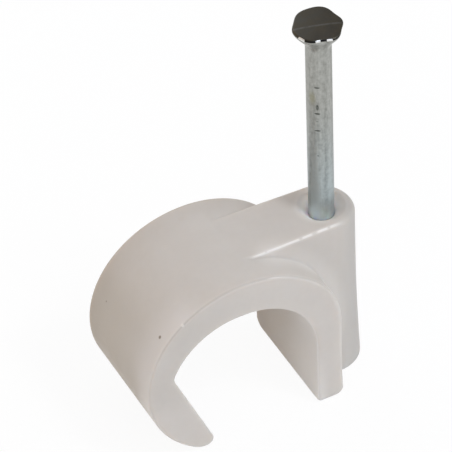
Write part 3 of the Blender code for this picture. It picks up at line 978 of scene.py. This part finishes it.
class CABLECLIP_OT_moulding(Operator):
    """Build the moulded hook with its nail boss"""
    bl_idname = "cable_clip.moulding"
    bl_label = "Build Moulding"

    def execute(self, context):
        sizes = context.scene.clip_sizes
        axis_x, axis_z = placed(sizes)
        shift = (axis_x, 0.0, axis_z)
        piece = new_piece("clip_moulding", loft(hook_rings(sizes)), shift)
        boss = new_piece("boss_form", loft(boss_rings(sizes)), shift)
        bore = new_piece("bore_form", bore_cutter(sizes), shift)
        for other, operation in ((boss, "UNION"), (bore, "DIFFERENCE")):
            modifier = piece.modifiers.new(operation.lower(), "BOOLEAN")
            modifier.operation = operation
            modifier.solver = "EXACT"
            modifier.object = other
        settle(piece, 30.0)
        for other in (boss, bore):
            bpy.data.objects.remove(other, do_unlink=True)
        if len(piece.data.polygons) < LEAST_FACES:
            raise RuntimeError("The moulding came out empty")
        weigh_normals(piece)
        piece.data.materials.clear()
        top_z = sizes.cable_radius + sizes.crown_wall + axis_z
        dish = (sizes.nail_offset + axis_x, 0.0, top_z - sizes.countersink_depth)
        crown_radius = sizes.cable_radius + sizes.crown_round
        crown = (sizes.crown_shift + axis_x, top_z - crown_radius, crown_radius)
        leg_x = axis_x + sizes.cable_radius + sizes.leg_relief
        back_x = axis_x - sizes.cable_radius - sizes.back_wall
        piece.data.materials.append(
            milky_plastic(context.scene.clip_finishes, dish, crown, leg_x, back_x))
        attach(piece, "root")
        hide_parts("clip_body")
        return {"FINISHED"}


class CABLECLIP_OT_nail(Operator):
    """Build the forged nail that stands in the boss"""
    bl_idname = "cable_clip.nail"
    bl_label = "Build Nail"

    def execute(self, context):
        clip, sizes = context.scene.clip_sizes, context.scene.nail_sizes
        axis_x = clip.nail_offset + placed(clip)[0]
        piece = new_piece("steel_nail", loft(nail_rings(sizes)), (axis_x, 0.0, 0.0))
        settle(piece, 32.0)
        piece.data.materials.append(zinc_steel(context.scene.clip_finishes, sizes, axis_x))
        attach(piece, "root")
        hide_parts("nail")
        return {"FINISHED"}


class CABLECLIP_OT_studio(Operator):
    """Set up the pale floor, the soft lights round it and the camera"""
    bl_idname = "cable_clip.studio"
    bl_label = "Build Studio"

    def execute(self, context):
        scene = context.scene
        scene.view_settings.view_transform = "Standard"
        model = bmesh.new()
        bmesh.ops.create_grid(model, x_segments=8, y_segments=8, size=FLOOR_SIZE)
        floor = new_piece("studio_floor", model, (0.0, 0.0, 0.0))
        floor.data.materials.append(paper_floor(scene.clip_finishes))
        self.light_world(scene)
        self.aim_camera(scene)
        return {"FINISHED"}

    def light_world(self, scene):
        """Fill the world with the soft lights and an even glow."""
        world = bpy.data.worlds.new("studio_world")
        scene.world = world
        world.use_nodes = True
        sky = Nodes(world.node_tree, "Generated")
        total = TENT_GLOW
        for around, rise, reach, color in SOFTBOXES:
            around, rise, reach = (math.radians(a) for a in (around, rise, reach))
            toward = sky.dot(sky.where, (math.sin(around) * math.cos(rise),
                                         -math.cos(around) * math.cos(rise), math.sin(rise)))
            lit = sky.vector("SCALE", color)
            sky.fill(lit, Scale=sky.span(toward, math.cos(reach), math.cos(SOFT_CORE * reach)))
            total = sky.vector("ADD", total, lit.outputs["Vector"]).outputs["Vector"]
        light = sky.add("ShaderNodeBackground", Color=total)
        sky.add("ShaderNodeOutputWorld", Surface=light.outputs[0])

    def aim_camera(self, scene):
        """Stand the camera where the photo was taken from."""
        azimuth, elevation, roll = (math.radians(a) for a in CAMERA_ANGLES)
        axis_x, axis_z = placed(scene.clip_sizes)
        target = Vector((axis_x, 0.0, axis_z)) + Vector(CAMERA_TARGET)
        right = Vector((math.cos(azimuth), -math.sin(azimuth), 0.0))
        ahead = Vector((math.sin(azimuth) * math.cos(elevation),
                        math.cos(azimuth) * math.cos(elevation), -math.sin(elevation)))
        up = right.cross(ahead)
        side = right * math.cos(roll) - up * math.sin(roll)
        upright = right * math.sin(roll) + up * math.cos(roll)
        camera = bpy.data.cameras.new("photo_camera")
        camera.sensor_width = 36.0
        camera.lens = CAMERA_LENS
        camera.clip_start = 0.01
        camera.clip_end = 20.0
        holder = bpy.data.objects.new("photo_camera", camera)
        place = target - ahead * CAMERA_DISTANCE
        turned = Matrix((side, upright, -ahead)).transposed().to_4x4()
        holder.matrix_world = Matrix.Translation(place) @ turned
        scene.collection.objects.link(holder)
        scene.camera = holder


class CABLECLIP_PT_panel(Panel):
    """Sidebar panel of the cable clip"""
    bl_idname = "CABLECLIP_PT_panel"
    bl_label = "Cable Clip"
    bl_space_type = "VIEW_3D"
    bl_region_type = "UI"
    bl_category = "Cable Clip"

    def draw(self, context):
        layout = self.layout
        for group in (context.scene.clip_sizes, context.scene.nail_sizes, context.scene.clip_finishes):
            box = layout.box()
            for name in group.__annotations__:
                box.prop(group, name)
        for operator in OPERATORS:
            layout.operator(operator.bl_idname)


OPERATORS = (CABLECLIP_OT_moulding, CABLECLIP_OT_nail, CABLECLIP_OT_studio)
CLASSES = (ClipSizes, NailSizes, Finishes) + OPERATORS + (CABLECLIP_PT_panel,)


def register():
    for item in CLASSES:
        bpy.utils.register_class(item)
    bpy.types.Scene.clip_sizes = PointerProperty(type=ClipSizes)
    bpy.types.Scene.nail_sizes = PointerProperty(type=NailSizes)
    bpy.types.Scene.clip_finishes = PointerProperty(type=Finishes)


def unregister():
    del bpy.types.Scene.clip_finishes
    del bpy.types.Scene.nail_sizes
    del bpy.types.Scene.clip_sizes
    for item in reversed(CLASSES):
        bpy.utils.unregister_class(item)


def main():
    register()
    bpy.ops.cable_clip.moulding()
    bpy.ops.cable_clip.nail()
    bpy.ops.cable_clip.studio()


if __name__ == "__main__":
    main()
